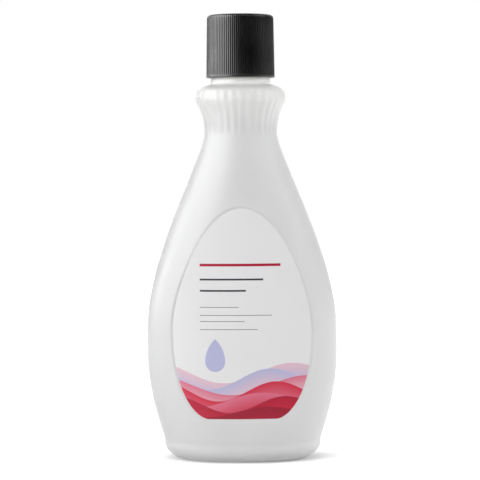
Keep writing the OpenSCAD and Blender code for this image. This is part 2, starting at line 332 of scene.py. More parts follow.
class Shell:
    """Rings of points and the faces between them."""

    def __init__(self):
        self.points, self.faces, self.count = [], [], 0

    def add(self, rings, flip=False):
        """Adds a closed band of rings, shaped (rings, columns, 3), and turns its faces over if asked."""
        rings = np.asarray(rings, float)
        rows, columns = rings.shape[:2]
        a = self.count + np.arange((rows - 1) * columns).reshape(rows - 1, columns)
        b = np.roll(a, -1, axis=1)
        quads = np.stack([a, b, b + columns, a + columns], axis=-1).reshape(-1, 4)
        self.faces.extend((quads[:, ::-1] if flip else quads).tolist())
        self.points.append(rings.reshape(-1, 3))
        self.count += rows * columns

    def build(self, name):
        """The smooth mesh object, with points that coincide made one and no empty faces."""
        mesh = bpy.data.meshes.new(name)
        mesh.from_pydata(np.vstack(self.points).tolist(), [], self.faces)
        work = bmesh.new()
        work.from_mesh(mesh)
        bmesh.ops.remove_doubles(work, verts=work.verts, dist=MERGE_GAP)
        bmesh.ops.dissolve_degenerate(work, edges=work.edges, dist=MERGE_GAP)
        for face in work.faces:
            face.smooth = True
        work.to_mesh(mesh)
        work.free()
        mesh.set_sharp_from_angle(angle=math.radians(SHARP_ANGLE))
        return new_object(name, mesh)


def mesh_points(mesh):
    """The mesh's points as rows of x, y and z."""
    flat = np.zeros(len(mesh.vertices) * 3, np.float32)
    mesh.vertices.foreach_get("co", flat)
    return flat.reshape(-1, 3).astype(float)


def move_points(mesh, points):
    """Puts the mesh's points at new places."""
    mesh.vertices.foreach_set("co", points.astype(np.float32).ravel())
    mesh.update()


def dress(piece, material, body, slot, *nodes):
    """Gives a piece its material and its body, and hides the nodes that it stands for. The slot is not used.
    """
    piece.data.materials.clear()
    piece.data.materials.append(material)
    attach(piece, body)
    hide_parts(*nodes)


def ring(turns, radius, z):
    """Points round the axis: radius and z are numbers or one for each turn."""
    radius, z = (np.broadcast_to(value, turns.shape) for value in (radius, z))
    return np.column_stack([radius * np.cos(turns), radius * np.sin(turns), z])


def rings_along(turns, profile):
    """A ring for each (radius, height) of a profile."""
    return [ring(turns, radius, z) for radius, z in profile]


PUSH_UP_REACH, PUSH_UP_RISE = 6 * MM, 4.5 * MM      # width of the push-up's rings, and of their rising part


def foot_ring(skin, turns, inward, z):
    """A ring of the foot, moved in from the foot band."""
    b = skin.body
    return ring(turns, oval(turns, b.foot_width / 2 - inward, b.foot_depth / 2 - inward, b.squareness), z)


def base_rings(skin, turns, lift):
    """From the middle of the base out to the heel and up to the foot band, moved in by the thickness lift."""
    b = skin.body
    edge = b.heel_reach + b.stand_ring
    slope = [foot_ring(skin, turns, edge + d, b.push_up * ease(d / PUSH_UP_RISE) + lift)
             for d in np.linspace(PUSH_UP_REACH, 0, RINGS["push_up"])]
    middle = slope[0].mean(axis=0)
    fill = [middle + (slope[0] - middle) * s for s in np.linspace(0, 1, RINGS["base"], endpoint=False)]
    heel = [foot_ring(skin, turns, b.heel_reach * (1 - math.cos(a)) + lift * math.cos(a),
                      b.heel_height * (1 - math.sin(a)) + lift * math.sin(a))
            for a in np.linspace(math.pi / 2, 0, RINGS["heel"])]
    return fill + slope + heel


# Rings over the panel's edge, in half widths of the edge, from the panel outwards
EDGE_STEPS = (-2, -1.3, -1, -0.7, -0.35, 0, 0.35, 0.7, 1, 1.3, 2)
ROUND_PANEL_GROWTH = 1.25   # above 1, the rings round the panel lie closer together beside it


def panel_skin(skin):
    """Rings on the front half: over the panel, over its edge, and out to the seams, foot and collar."""
    label = skin.label
    outline, normal = spokes(skin.teardrop(label.margin))
    centre = np.array([0, skin.low + label.belly])
    inner_edge = outline + normal * EDGE_STEPS[0] * label.edge
    rings = []
    for s in np.linspace(0, 1, RINGS["panel"], endpoint=False):
        x, z = (centre + (inner_edge - centre) * s).T
        rings.append(np.column_stack([x, skin.inset_y(x, z), z]))
    for step in EDGE_STEPS:
        x, z = (outline + normal * step * label.edge).T
        out = ease((step + 1) / 2)
        rings.append(np.column_stack([x, skin.inset_y(x, z) * (1 - out) + skin.body_y(x, z) * out, z]))
    x, y, z = rings[-1].T
    start = np.column_stack([np.arctan2(x, -y), z])
    target = panel_frame(skin.body.foot_height, skin.collar_foot)
    for t in np.linspace(0, 1, RINGS["round_panel"] + 1)[1:]**ROUND_PANEL_GROWTH:
        turn, z = (start * (1 - t) + target * t).T
        rings.append(ring(turn + FRONT_TURN, skin.radius(turn + FRONT_TURN, z), z))
    return np.array(rings)


def panel_frame(low, high):
    """(turn, height) round the front half: along the foot, up one seam, back at the collar and down."""
    quarter = math.pi / 2
    across = np.linspace(-quarter, quarter, HALF_COLUMNS, endpoint=False)
    rise, fall = (np.linspace(a, b, SIDE_SPOKES, endpoint=False) for a, b in ((low, high), (high, low)))
    return np.vstack([
        np.column_stack([across, np.full(HALF_COLUMNS, low)]),
        np.column_stack([np.full(SIDE_SPOKES, quarter), rise]),
        np.column_stack([-across, np.full(HALF_COLUMNS, high)]),
        np.column_stack([np.full(SIDE_SPOKES, -quarter), fall]),
    ])


# Small roundings as (out, up) in mm: from the crown to the neck, over the neck's top edge, and over the rim
NECK_FILLET = ((0.35, 0), (0.16, 0.06), (0.05, 0.16), (0, 0.35))
NECK_EDGE = ((0, -0.25), (-0.08, -0.07), (-0.25, 0))
RIM_ROUND = 0.12 * MM
# Step of the rings over the neck's thread, and their distance from the plain neck and from the rim
THREAD_STEP, THREAD_START, THREAD_END = 0.28 * MM, 0.15 * MM, 0.6 * MM
THREAD_RUN_OUT = 0.12       # share of a turn over which the thread rises from the neck at its two ends
THREAD_FLAT, THREAD_FLANK = 0.3 * MM, 0.6 * MM      # half width of the thread's crest, and width of its flank


def thread_height(turns, z, neck, start, turn_count):
    """Share of the full ridge, from 0 to 1, of a thread that starts at the height start."""
    wound = (z - start) / neck.lead - turns / (2 * math.pi)
    nearest = np.round(wound)
    off = np.abs(wound - nearest) * neck.lead
    along = nearest + turns / (2 * math.pi)
    run = ease(along / THREAD_RUN_OUT) * ease((turn_count - along) / THREAD_RUN_OUT)
    return run * (1 - ease((off - THREAD_FLAT) / THREAD_FLANK))


def thread_rings(turns, heights, neck, start, root, crest):
    """Rings over a thread that rises from the radius root to the radius crest."""
    return [ring(turns, root + (crest - root) * thread_height(turns, z, neck, start, neck.turns), z)
            for z in heights]


def collar_rings(skin, turns):
    """From the flutes' lower end over the bulge and the crown to the foot of the neck."""
    b = skin.body
    rings = [ring(turns, skin.radius(turns, z) - skin.flute(turns, z), z)
             for z in np.linspace(skin.collar_foot, b.bulge_height, RINGS["collar"])]
    bulge, foot = b.bulge_diameter / 2, skin.neck.diameter / 2 + NECK_FILLET[0][0] * MM
    crown = cubic([[bulge, b.bulge_height], [bulge, b.bulge_height + CROWN_PULLS[2]],
                   [bulge - CROWN_PULLS[0], b.crown_height - CROWN_PULLS[1]],
                   [foot, b.crown_height]], RINGS["crown"] + 1)[1:]
    return rings + [ring(turns, radius - skin.flute(turns, z), z) for radius, z in crown]


def neck_rings(skin, turns):
    """The plain neck, the thread and the rim, down to the mouth of the bore."""
    n, crown = skin.neck, skin.body.crown_height
    plain, root, bore, rim = n.diameter / 2, n.root / 2, n.bore / 2, BOTTLE_HIGH.z
    top = crown + n.height
    heights = np.arange(top + THREAD_START, rim - THREAD_END, THREAD_STEP)
    start = rim - n.top_gap - n.turns * n.lead
    return (
        rings_along(turns, [(plain + out * MM, crown + up * MM) for out, up in NECK_FILLET[1:]])
        + rings_along(turns, [(plain + out * MM, top + up * MM) for out, up in NECK_EDGE])
        + thread_rings(turns, heights, n, start, root, n.crest / 2)
        + rings_along(turns, [
            (root, rim - n.bevel), (root - RIM_ROUND, rim - RIM_ROUND), (root - n.bevel, rim),
            (bore + n.mouth_bevel, rim), (bore, rim - n.mouth_bevel)])
    )


BORE_TOP = 1 * MM           # from the rim down to the bore's first ring
INNER_EDGE = 1.5 * MM       # width of the soft edge that the panels have on the inside


def inner_rings(skin, turns):
    """The inside, from the bore down to the middle of the floor, one wall in from the outside."""
    b = skin.body
    wall, bore, ceiling = b.wall, skin.neck.bore / 2, b.crown_height - b.wall
    rings = [ring(turns, bore, z) for z in np.linspace(BOTTLE_HIGH.z - BORE_TOP, ceiling, RINGS["bore"])]
    bulge = b.bulge_diameter / 2 - wall
    rings += rings_along(turns, cubic(
        [[bore, ceiling], [bulge - CROWN_PULLS[0], ceiling - CROWN_PULLS[1]],
         [bulge, b.bulge_height + CROWN_PULLS[2] - wall / 2], [bulge, b.bulge_height]],
        RINGS["inner_crown"] + 1)[1:])
    for z in np.linspace(b.bulge_height, b.foot_height, RINGS["inner_side"] + 1)[1:]:
        wide, deep = skin.halves(z)
        points = ring(turns, oval(turns, wide - wall, deep - wall, skin.exponent(z)), z)
        rings.append(inner_panel(skin, points, wall))
    return rings + base_rings(skin, turns, wall)[::-2]


def inner_panel(skin, points, wall):
    """Lets the panels show on the inside too, with soft edges."""
    outline = skin.teardrop(skin.label.margin + 2 * wall)
    right = outline[:len(outline) // 2 + 1]
    x, y, z = points.T
    gap = np.hypot(outline[None, :, 0] - x[:, None], outline[None, :, 1] - z[:, None]).min(axis=1)
    inside = np.where(np.abs(x) < np.interp(z, right[:, 1], right[:, 0]), gap, -gap)
    deep = np.abs(y)
    flat = np.minimum(deep, -(skin.panel_y(x, z) + wall))
    let_in = ease(inside / INNER_EDGE + 0.5)
    return np.column_stack([x, np.sign(y) * (deep + (flat - deep) * let_in), z])


SEAM_HALF_WIDTH = 0.35 * MM
SEAM_FOOT, SEAM_FADE = 2 * MM, 3 * MM       # where the parting line starts, and over what height it runs out
SEAM_REACH = 0.1 * MM                       # how far inside the neck's radius a point still counts as outside


def raise_parting_line(skin, mesh):
    """Moves the points at the two sides out a little, from the heel to the foot of the neck."""
    points = mesh_points(mesh)
    x, y, z = points.T
    outer = np.hypot(x, y) > skin.neck.diameter / 2 - SEAM_REACH
    run = ease((skin.body.crown_height - z) / SEAM_FADE) * ease((z - SEAM_FOOT) / SEAM_FADE)
    lift = skin.body.parting_line * (1 - ease(np.abs(y) / SEAM_HALF_WIDTH)) * outer * run
    points[:, 0] += np.sign(x) * lift
    move_points(mesh, points)


def fit_to_box(mesh, low, high):
    """Draws a mesh in by the hair that it may stand outside its solid's box."""
    points = mesh_points(mesh)
    for axis in range(2):
        limit = min(-low[axis], high[axis])
        points[:, axis] *= min(1, limit / np.abs(points[:, axis]).max())
    points[:, 2] = np.clip(points[:, 2], low[2], high[2])
    move_points(mesh, points)


class BOTTLE_OT_body(bpy.types.Operator):
    """Builds the blown body with its flutes, panels, thread and hollow inside"""
    bl_idname = "bottle.body"
    bl_label = "Bottle body"

    def execute(self, context):
        skin = Skin(context.scene)
        turns = np.linspace(0, 2 * math.pi, 2 * HALF_COLUMNS, endpoint=False)
        foot_height = skin.body.foot_height
        front = panel_skin(skin)
        shell = Shell()
        shell.add(base_rings(skin, turns, 0) + [ring(turns, skin.radius(turns, foot_height), foot_height)])
        shell.add(front, flip=True)
        shell.add(front * [1, -1, 1])
        shell.add(collar_rings(skin, turns) + neck_rings(skin, turns) + inner_rings(skin, turns))
        bottle = shell.build("bottle_skin")
        raise_parting_line(skin, bottle.data)
        fit_to_box(bottle.data, BOTTLE_LOW, BOTTLE_HIGH)
        dress(bottle, natural_plastic(context.scene.finishes), "bottle", "natural_plastic", "bottle")
        return {"FINISHED"}


# The film's edge from its face to its back: distance in from its outline in mm, and share of its thickness
FILM_EDGE = ((0.12, 1), (0.03, 0.9), (0, 0.6))
FILM_GAP = 0.01 * MM        # between the film's back and the panel


class BOTTLE_OT_label(bpy.types.Operator):
    """Builds the film label on the front panel"""
    bl_idname = "bottle.label"
    bl_label = "Label"

    def execute(self, context):
        skin = Skin(context.scene)
        outline, normal = spokes(skin.teardrop(0))
        centre = np.array([0, skin.low + skin.label.belly])
        edge = [(outline - normal * inward * MM, skin.label.film * part) for inward, part in FILM_EDGE]

        def on_skin(points, lift):
            x, z = points.T
            return np.column_stack([x, skin.inset_y(x, z) - lift, z])

        inner, film = edge[0]
        face = [on_skin(centre + (inner - centre) * s, film) for s in np.linspace(0, 1, RINGS["film"])]
        back = [on_skin(centre + (outline - centre) * s, FILM_GAP)
                for s in np.linspace(1, 0, RINGS["film_back"] + 1)]
        shell = Shell()
        shell.add(face + [on_skin(*step) for step in edge[1:]] + back, flip=True)
        label = shell.build("label_film")
        dress(label, printed_film(context.scene.finishes), "bottle", "label_film", "front_label")
        return {"FINISHED"}


# Half of a crowned rib and its narrow groove: place in the rib's run, and share of the groove's depth
HALF_RIB = ((0, 0), (0.12, 0.015), (0.24, 0.06), (0.32, 0.12), (0.38, 0.6), (0.44, 1), (0.5, 1))
RIB_SHAPE = HALF_RIB + tuple((1 - place, depth) for place, depth in HALF_RIB[-2:0:-1])
INNER_STEP = 3              # columns of the skirt's outside for each column of its inside
# The mouth's rim in mm: (inward, up) from its outer edge to the skirt, and (outward, up) from the bore down
MOUTH_EDGE = ((0.12, 0), (0.03, 0.04), (0, 0.14))
MOUTH_INSIDE = ((0, 0.45), (0.35, 0.05), (0.4, 0))
RIB_START = (0, 0.08, 0.16, 0.26, 0.4)      # heights in mm over which the grooves grow from the band
BAND_EDGE, RIB_RUN = 0.1 * MM, 1 * MM       # from the band's top down and up to the rings beyond those
SKIRT_RINGS, EDGE_RINGS = 10, 9
# Rings of the flat top and of the ceiling, as shares of their radius
TOP_SHARES, CEILING_SHARES = (0.96, 0.8, 0.5, 0.25, 0), (0, 0.4, 0.8, 0.99)
CEILING_EDGE = 0.1 * MM                     # rounding between the ceiling and the bore
# Step of the rings over the cap's thread, and their distance from the ceiling and from the mouth
CAP_THREAD_STEP, CAP_THREAD_TOP, CAP_THREAD_LOW = 0.2 * MM, 0.3 * MM, 0.6 * MM
CAP_THREAD_DROP = 1.5       # how many leads the thread in the cap starts under the neck's thread


class BOTTLE_OT_cap(bpy.types.Operator):
    """Builds the ribbed screw cap with its inner thread"""
    bl_idname = "bottle.cap"
    bl_label = "Screw cap"

    def execute(self, context):
        scene = context.scene
        cap = scene.cap_sizes
        places, depths = np.transpose(RIB_SHAPE)
        turns = ((np.arange(cap.ribs)[:, None] + places) * 2 * math.pi / cap.ribs).ravel()
        inner_turns = turns[::INNER_STEP]
        shell = Shell()
        shell.add(cap_outside(cap, turns, cap.rib_depth * np.tile(depths, cap.ribs)))
        shell.add(cap_inside(cap, scene.neck_sizes, inner_turns)[::-1])
        stitch_mouth(shell, cap, turns, inner_turns)
        piece = shell.build("cap_shell")
        dress(piece, black_plastic(scene.finishes), "cap", "black_plastic", "cap")
        return {"FINISHED"}


def cap_outside(cap, turns, groove):
    """From the mouth's edge up the ribs and over the top to its middle."""
    low, high = CAP_LOW.z, CAP_HIGH.z
    foot = (CAP_HIGH.x - CAP_LOW.x) / 2
    head = foot - cap.draft / 2
    band, shoulder = low + cap.band, high - cap.edge

    def skirt(z):
        return foot + (head - foot) * (z - band) / (high - band)

    rings = rings_along(turns, [(foot - inward * MM, low + up * MM) for inward, up in MOUTH_EDGE])
    rings.append(ring(turns, foot, band - BAND_EDGE))
    rings += [ring(turns, skirt(band + up * MM) - groove * ease(up / RIB_START[-1]), band + up * MM)
              for up in RIB_START]
    rings += [ring(turns, skirt(z) - groove, z) for z in np.linspace(band + RIB_RUN, shoulder, SKIRT_RINGS)]
    for a in np.linspace(0, math.pi / 2, EDGE_RINGS + 1)[1:]:
        turned = head - cap.edge * (1 - math.cos(a))
        rings.append(ring(turns, np.minimum(turned, head - groove), high - cap.edge * (1 - math.sin(a))))
    return rings + rings_along(turns, [((head - cap.edge) * part, high) for part in TOP_SHARES])


def cap_inside(cap, neck, turns):
    """From the middle of the inner top down the bore with its thread to the mouth."""
    low, bore, ceiling = CAP_LOW.z, cap.bore / 2, CAP_HIGH.z - cap.top
    heights = np.arange(ceiling - CAP_THREAD_TOP, low + CAP_THREAD_LOW, -CAP_THREAD_STEP)
    start = BOTTLE_HIGH.z - neck.top_gap - (neck.turns + CAP_THREAD_DROP) * neck.lead
    return (
        rings_along(turns, [(bore * part, ceiling) for part in CEILING_SHARES])
        + [ring(turns, bore, ceiling - CEILING_EDGE)]
        + thread_rings(turns, heights, neck, start, bore, bore - cap.thread)
        + rings_along(turns, [(bore + outward * MM, low + up * MM) for outward, up in MOUTH_INSIDE])
    )


def stitch_mouth(shell, cap, outer_turns, inner_turns):
    """Closes the mouth's edge between the fine outer columns and the coarser inner ones."""
    foot = (CAP_HIGH.x - CAP_LOW.x) / 2
    outer = ring(outer_turns, foot - MOUTH_EDGE[0][0] * MM, CAP_LOW.z)
    inner = ring(inner_turns, cap.bore / 2 + MOUTH_INSIDE[-1][0] * MM, CAP_LOW.z)
    first = shell.count
    base = first + len(outer)
    shell.points.append(np.vstack([outer, inner]))
    shell.count += len(outer) + len(inner)
    for i in range(len(inner)):
        after = (i + 1) % len(inner)
        span = [first + (i * INNER_STEP + k) % len(outer) for k in range(INNER_STEP + 1)]
        shell.faces.append([base + i, base + after, *span[::-1]])


class BOTTLE_OT_inner_parts(bpy.types.Operator):
    """Gives the pour plug and the liner their finishes"""
    bl_idname = "bottle.inner_parts"
    bl_label = "Pour plug and liner"

    def execute(self, context):
        for node, material in (("orifice_reducer", plug_plastic), ("cap_liner", liner_foam)):
            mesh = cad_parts[node].data
            mesh.materials.clear()
            mesh.materials.append(material(context.scene.finishes))
        return {"FINISHED"}


TONE_SPAN = (0.3, 0.7)      # between these lie most of the values of a slow noise


def set_inputs(tree, node, values):
    """Sets a node's inputs, by name or number, to values or to other nodes' outputs."""
    for key, value in values.items():
        if isinstance(value, bpy.types.NodeSocket):
            tree.links.new(value, node.inputs[key])
        else:
            node.inputs[key].default_value = value


def add(tree, kind, values=None, **settings):
    """Adds a node with its settings and its inputs."""
    node = tree.nodes.new(kind)
    for key, value in settings.items():
        setattr(node, key, value)
    set_inputs(tree, node, values or {})
    return node


def maths(tree, operation, *values):
    """The result of an operation on numbers."""
    return add(tree, "ShaderNodeMath", dict(enumerate(values)), operation=operation).outputs[0]


def vectors(tree, operation, *values):
    """The result of an operation on vectors, which is a number for a distance or a dot product."""
    node = add(tree, "ShaderNodeVectorMath", dict(enumerate(values)), operation=operation)
    return node.outputs["Value" if operation in ("DISTANCE", "DOT_PRODUCT") else "Vector"]


def spread(tree, value, span, result=(0.0, 1.0), smooth=True):
    """The value's place in a span, drawn out over the result's range."""
    node = add(tree, "ShaderNodeMapRange", {
        "Value": value, "From Min": span[0], "From Max": span[1], "To Min": result[0], "To Max": result[1]})
    node.interpolation_type = "SMOOTHSTEP" if smooth else "LINEAR"
    return node.outputs["Result"]


def split(tree, vector):
    """The x, y and z of a vector."""
    return add(tree, "ShaderNodeSeparateXYZ", {0: vector}).outputs


def object_place(tree):
    """The place on the object."""
    return add(tree, "ShaderNodeTexCoord").outputs["Object"]


def mix_colours(tree, factor, first, second):
    """Colour between two, by a factor."""
    node = add(tree, "ShaderNodeMix", data_type="RGBA")
    set_inputs(tree, node, {"Factor": factor, 6: first, 7: second})
    return node.outputs[2]


def rgba(value, strength=1.0):
    """A colour, darker or lighter by the strength, with full alpha."""
    return (*(c * strength for c in value), 1.0)


def new_material(name):
    """A material with its node tree and its Principled shader."""
    material = bpy.data.materials.new(name)
    material.use_nodes = True
    return material, material.node_tree, material.node_tree.nodes["Principled BSDF"]


def bumps(tree, height, strength, distance):
    """A normal that follows a height."""
    node = add(tree, "ShaderNodeBump", {"Height": height, "Strength": strength, "Distance": distance})
    return node.outputs["Normal"]


def drift(tree, tone, low, high):
    """A value that drifts between two with the grain's slow tone."""
    return spread(tree, tone, TONE_SPAN, (low, high), smooth=False)


def shared_group(name, inputs, draw):
    """The node group of that name with its inputs' defaults, which draw fills the first time."""
    if name in bpy.data.node_groups:
        return bpy.data.node_groups[name]
    group = bpy.data.node_groups.new(name, "ShaderNodeTree")
    for label, default in inputs.items():
        kind = "NodeSocketVector" if isinstance(default, tuple) else "NodeSocketFloat"
        group.interface.new_socket(label, in_out="INPUT", socket_type=kind).default_value = default
    results = draw(group, group.nodes.new("NodeGroupInput").outputs)
    for label in results:
        group.interface.new_socket(label, in_out="OUTPUT", socket_type="NodeSocketFloat")
    set_inputs(group, group.nodes.new("NodeGroupOutput"), results)
    return group


def place(tree, group, **values):
    """The outputs of a node group that is placed in a material with its own values."""
    node = add(tree, "ShaderNodeGroup", node_tree=group)
    set_inputs(tree, node, values)
    return node.outputs


def moulded_grain():
    """Fine grain of a moulded or blown surface, with a slow change of tone under it."""
    def draw(group, source):
        scale = add(group, "ShaderNodeCombineXYZ", {"X": 1.0, "Y": 1.0, "Z": source["Stretch"]}).outputs[0]
        drawn = vectors(group, "MULTIPLY", object_place(group), scale)
        fine = add(group, "ShaderNodeTexNoise", {"Vector": drawn, "Scale": source["Fine"], "Detail": 3.0})
        slow = add(group, "ShaderNodeTexNoise", {"Vector": drawn, "Scale": source["Slow"], "Detail": 2.0})
        return {"Height": fine.outputs["Fac"], "Tone": slow.outputs["Fac"]}

    return shared_group("moulded_grain", {"Fine": 2500.0, "Slow": 60.0, "Stretch": 1.0}, draw)


def printed_lens():
    """Mask of the lens where two discs of one radius overlap."""
    def draw(group, source):
        gaps = [vectors(group, "DISTANCE", source["Place"], source[disc]) for disc in ("First", "Second")]
        inside = maths(group, "SUBTRACT", source["Radius"], maths(group, "MAXIMUM", *gaps))
        return {"Mask": spread(group, inside, (0.0, source["Soft"]))}

    return shared_group("printed_lens", {"Place": (0, 0, 0), "First": (0, 0, 0), "Second": (0, 0, 0),
                                         "Radius": 0.02, "Soft": 0.00012}, draw)


def printed_wave():
    """Mask of all that lies under a wave line, and the depth under that line from 0 to 1."""
    def draw(group, source):
        here = split(group, source["Place"])
        turn = maths(group, "MULTIPLY_ADD", here["X"], source["Turn"], source["Start"])
        swing = maths(group, "SINE", turn)
        line = maths(group, "MULTIPLY_ADD", swing, source["Swing"], source["Base"])
        under = maths(group, "SUBTRACT", line, here["Z"])
        return {output: spread(group, under, (0.0, source[reach]), smooth=False)
                for output, reach in (("Mask", "Soft"), ("Depth", "Fade"))}

    return shared_group("printed_wave", {"Place": (0, 0, 0), "Base": 0.03, "Swing": 0.003, "Turn": 150.0,
                                         "Start": 0.0, "Soft": 0.0001, "Fade": 0.007}, draw)


def printed_rule():
    """Mask of a straight rule, by its middle and its half size."""
    def draw(group, source):
        away = vectors(group, "ABSOLUTE", vectors(group, "SUBTRACT", source["Place"], source["Middle"]))
        room = split(group, vectors(group, "SUBTRACT", source["Half"], away))
        return {"Mask": spread(group, maths(group, "MINIMUM", room["X"], room["Z"]), (0.0, source["Soft"]))}

    return shared_group("printed_rule", {"Place": (0, 0, 0), "Middle": (0, 0, 0), "Half": (0, 0, 0),
                                         "Soft": 0.00008}, draw)


def natural_plastic(look):
    """Frosted natural plastic: warmer above the liquid, cooler where the liquid stands behind the wall."""
    material, tree, shader = new_material("natural_plastic")
    half_fade = look.level_fade / 2
    above = spread(tree, split(tree, object_place(tree))["Z"],
                   (look.liquid_level - half_fade, look.liquid_level + half_fade))
    tint = mix_colours(tree, above, rgba(look.body), rgba(look.headspace))
    grain = place(tree, moulded_grain(), Fine=2200.0, Slow=45.0, Stretch=0.35)
    cloud = {0: tint, "Scale": drift(tree, grain["Tone"], 0.965, 1.0)}
    set_inputs(tree, shader, {
        "Base Color": add(tree, "ShaderNodeVectorMath", cloud, operation="SCALE").outputs["Vector"],
        "Roughness": drift(tree, grain["Tone"], 0.36, 0.46),
        "Normal": bumps(tree, grain["Height"], strength=0.12, distance=0.0001),
        "Specular IOR Level": 0.4,
        "Subsurface Weight": 0.35,
        "Subsurface Radius": (1.0, 0.95, 0.9),
        "Subsurface Scale": 0.003,
    })
    return material


def black_plastic(look):
    """Satin black plastic with a fine spark-eroded grain."""
    material, tree, shader = new_material("black_plastic")
    grain = place(tree, moulded_grain(), Fine=1900.0, Slow=160.0, Stretch=1.0)
    set_inputs(tree, shader, {
        "Base Color": mix_colours(tree, grain["Tone"], rgba(look.cap), rgba(look.cap, 1.9)),
        "Roughness": drift(tree, grain["Tone"], 0.3, 0.4),
        "Normal": bumps(tree, grain["Height"], strength=0.35, distance=0.00012),
        "Specular IOR Level": 0.95,
    })
    return material


def plug_plastic(look):
    """Smooth white plastic of the pour plug."""
    material, tree, shader = new_material("plug_plastic")
    grain = place(tree, moulded_grain(), Fine=1500.0, Slow=120.0, Stretch=1.0)
    set_inputs(tree, shader, {
        "Base Color": mix_colours(tree, grain["Tone"], rgba(look.plug, 0.93), rgba(look.plug)),
        "Roughness": drift(tree, grain["Tone"], 0.2, 0.32),
        "Normal": bumps(tree, grain["Height"], strength=0.05, distance=0.0001),
    })
    return material


def liner_foam(look):
    """Fine-celled foam of the liner."""
    material, tree, shader = new_material("liner_foam")
    foam = add(tree, "ShaderNodeTexVoronoi", {"Vector": object_place(tree), "Scale": 2600.0})
    cells = foam.outputs["Distance"]
    set_inputs(tree, shader, {
        "Base Color": mix_colours(tree, cells, rgba(look.foam), rgba(look.foam, 0.8)),
        "Roughness": 0.85,
        "Normal": bumps(tree, cells, strength=0.4, distance=0.0002),
    })
    return material


# Waves of the print, from the back: middle height, swing and run in mm, start in degrees, the ink along the
# crest and the ink under it
WAVES = ((32.5, 3.4, 47, -40, "pale_pink", "lavender"), (30.5, 3.6, 42, 8, "lavender", "pale_pink"),
         (28.2, 3.2, 52, -62, "pink", "pale_pink"), (26.2, 3.4, 40, -14, "bright_red", "pink"),
         (23.2, 2.6, 46, 38, "pink", "bright_red"), (21.6, 2.8, 38, -48, "red", "bright_red"),
         (19.0, 1.9, 44, 20, "deep_red", "red"))
DROP = ((-9.4, 36.4), 3.5, 8.0)     # middle of the drop's round end, its radius and its tip's reach, in mm
# Printed rules: height, length and thickness in mm, and ink
RULES = ((69.9, 28, 1.0, "red"), (64.9, 22, 0.7, "ink"), (61.0, 16, 0.7, "ink"), (55.3, 13.5, 0.26, "ink"),
         (52.5, 25, 0.26, "ink"), (50.4, 15.5, 0.26, "ink"), (47.6, 20, 0.26, "ink"))
RULE_LEFT = -14.6                   # left end of every rule, in mm
PRINT_DEPTH = 1.0                   # half depth of a rule's box in metres, past the film's front and back


def disc_pair(tree, here, first, second, radius):
    """Mask of the lens that two discs share, or of one disc where both have one middle."""
    return place(tree, printed_lens(), Place=here, First=(first[0] * MM, 0, first[1] * MM),
                 Second=(second[0] * MM, 0, second[1] * MM), Radius=radius * MM)["Mask"]


def printed_drop(tree, here, tint, ink):
    """The ground with a drop printed on it, a disc under the upper half of a lens."""
    (x, z), round_end, reach = DROP
    radius = (reach * reach + round_end * round_end) / (2 * round_end)
    off = radius - round_end
    disc = disc_pair(tree, here, (x, z), (x, z), round_end)
    lens = disc_pair(tree, here, (x - off, z), (x + off, z), radius)
    upper = maths(tree, "GREATER_THAN", split(tree, here)["Z"], z * MM)
    drop = maths(tree, "MAXIMUM", disc, maths(tree, "MULTIPLY", lens, upper))
    return mix_colours(tree, drop, tint, rgba(ink))


def printed_film(look):
    """Whitish film with soft overlapping waves, a drop and plain rules printed on it."""
    material, tree, shader = new_material("label_film")
    flat = vectors(tree, "MULTIPLY", object_place(tree), (1, 0, 1))
    grain = place(tree, moulded_grain(), Fine=1800.0, Slow=70.0, Stretch=1.0)
    tint = mix_colours(tree, grain["Tone"], rgba(look.film, 0.97), rgba(look.film))
    for base, swing, run, start, crest_ink, ink in WAVES:
        wave = place(tree, printed_wave(), Place=flat, Base=base * MM, Swing=swing * MM,
                     Turn=2 * math.pi / (run * MM), Start=math.radians(start))
        shade = mix_colours(tree, wave["Depth"], rgba(getattr(look, crest_ink)), rgba(getattr(look, ink)))
        tint = mix_colours(tree, wave["Mask"], tint, shade)
    tint = printed_drop(tree, flat, tint, look.lavender)
    for height, long, thick, ink in RULES:
        rule = place(tree, printed_rule(), Place=flat, Middle=((RULE_LEFT + long / 2) * MM, 0, height * MM),
                     Half=(long / 2 * MM, PRINT_DEPTH, thick / 2 * MM))
        tint = mix_colours(tree, rule["Mask"], tint, rgba(getattr(look, ink)))
    set_inputs(tree, shader, {
        "Base Color": tint,
        "Roughness": drift(tree, grain["Tone"], 0.4, 0.48),
        "Normal": bumps(tree, grain["Height"], strength=0.04, distance=0.0001),
    })
    return material


FLOOR_HALF, FLOOR_FRONT = 4.0, -0.35            # half width of the floor, and how far it comes forward
PAINTED_SHADOW_MIDDLE = (0.0015, 0, 0)                    # middle of the painted shadow, where the ground's glow is weakest, once squeezed
PAINTED_SHADOW_SQUEEZE = (0.42, 1, 1)                     # the painted shadow spreads round the foot, which is wider than deep
GLOW_AND_PAINTED_SHADOW_REACHES = ((0.009, 0.017), (0.020, 0.040), (0.05, 0.30))     # where the glow grows and the painted shadow fades, from the object outwards
# Lamps: name, direction in degrees from the camera, rightwards, and angle above the ground
LAMPS = (("key", -50, 20), ("front", -20, 20), ("right", 88, 11), ("side_light", -100, 35), ("back", 172, 20))
LAMP_REACH = 0.75                               # distance of the lamps from the middle of the object
LAMP_SIZE = (0.45, 0.6)
LAMP_AIM = Vector((0, 0, 0.08))
# Bright parts of the studio as the object's gloss shows them: direction round the object in degrees from the
# camera, rightwards, half width, lowest and highest angle above the horizon, and strength
WINDOWS = ((180, 38, -40, 60, 1.0), (-80, 48, -25, 50, 3.7), (-80, 48, 8, 60, 6.2), (-110, 18, -25, 50, 6.9),
           (90, 15, 16, 62, 4.5), (105, 40, -10, 50, 0.17))
WINDOW_EDGE = 12                                # width in degrees over which a window fades out
SENSOR_WIDTH = 36                               # of the camera, in mm


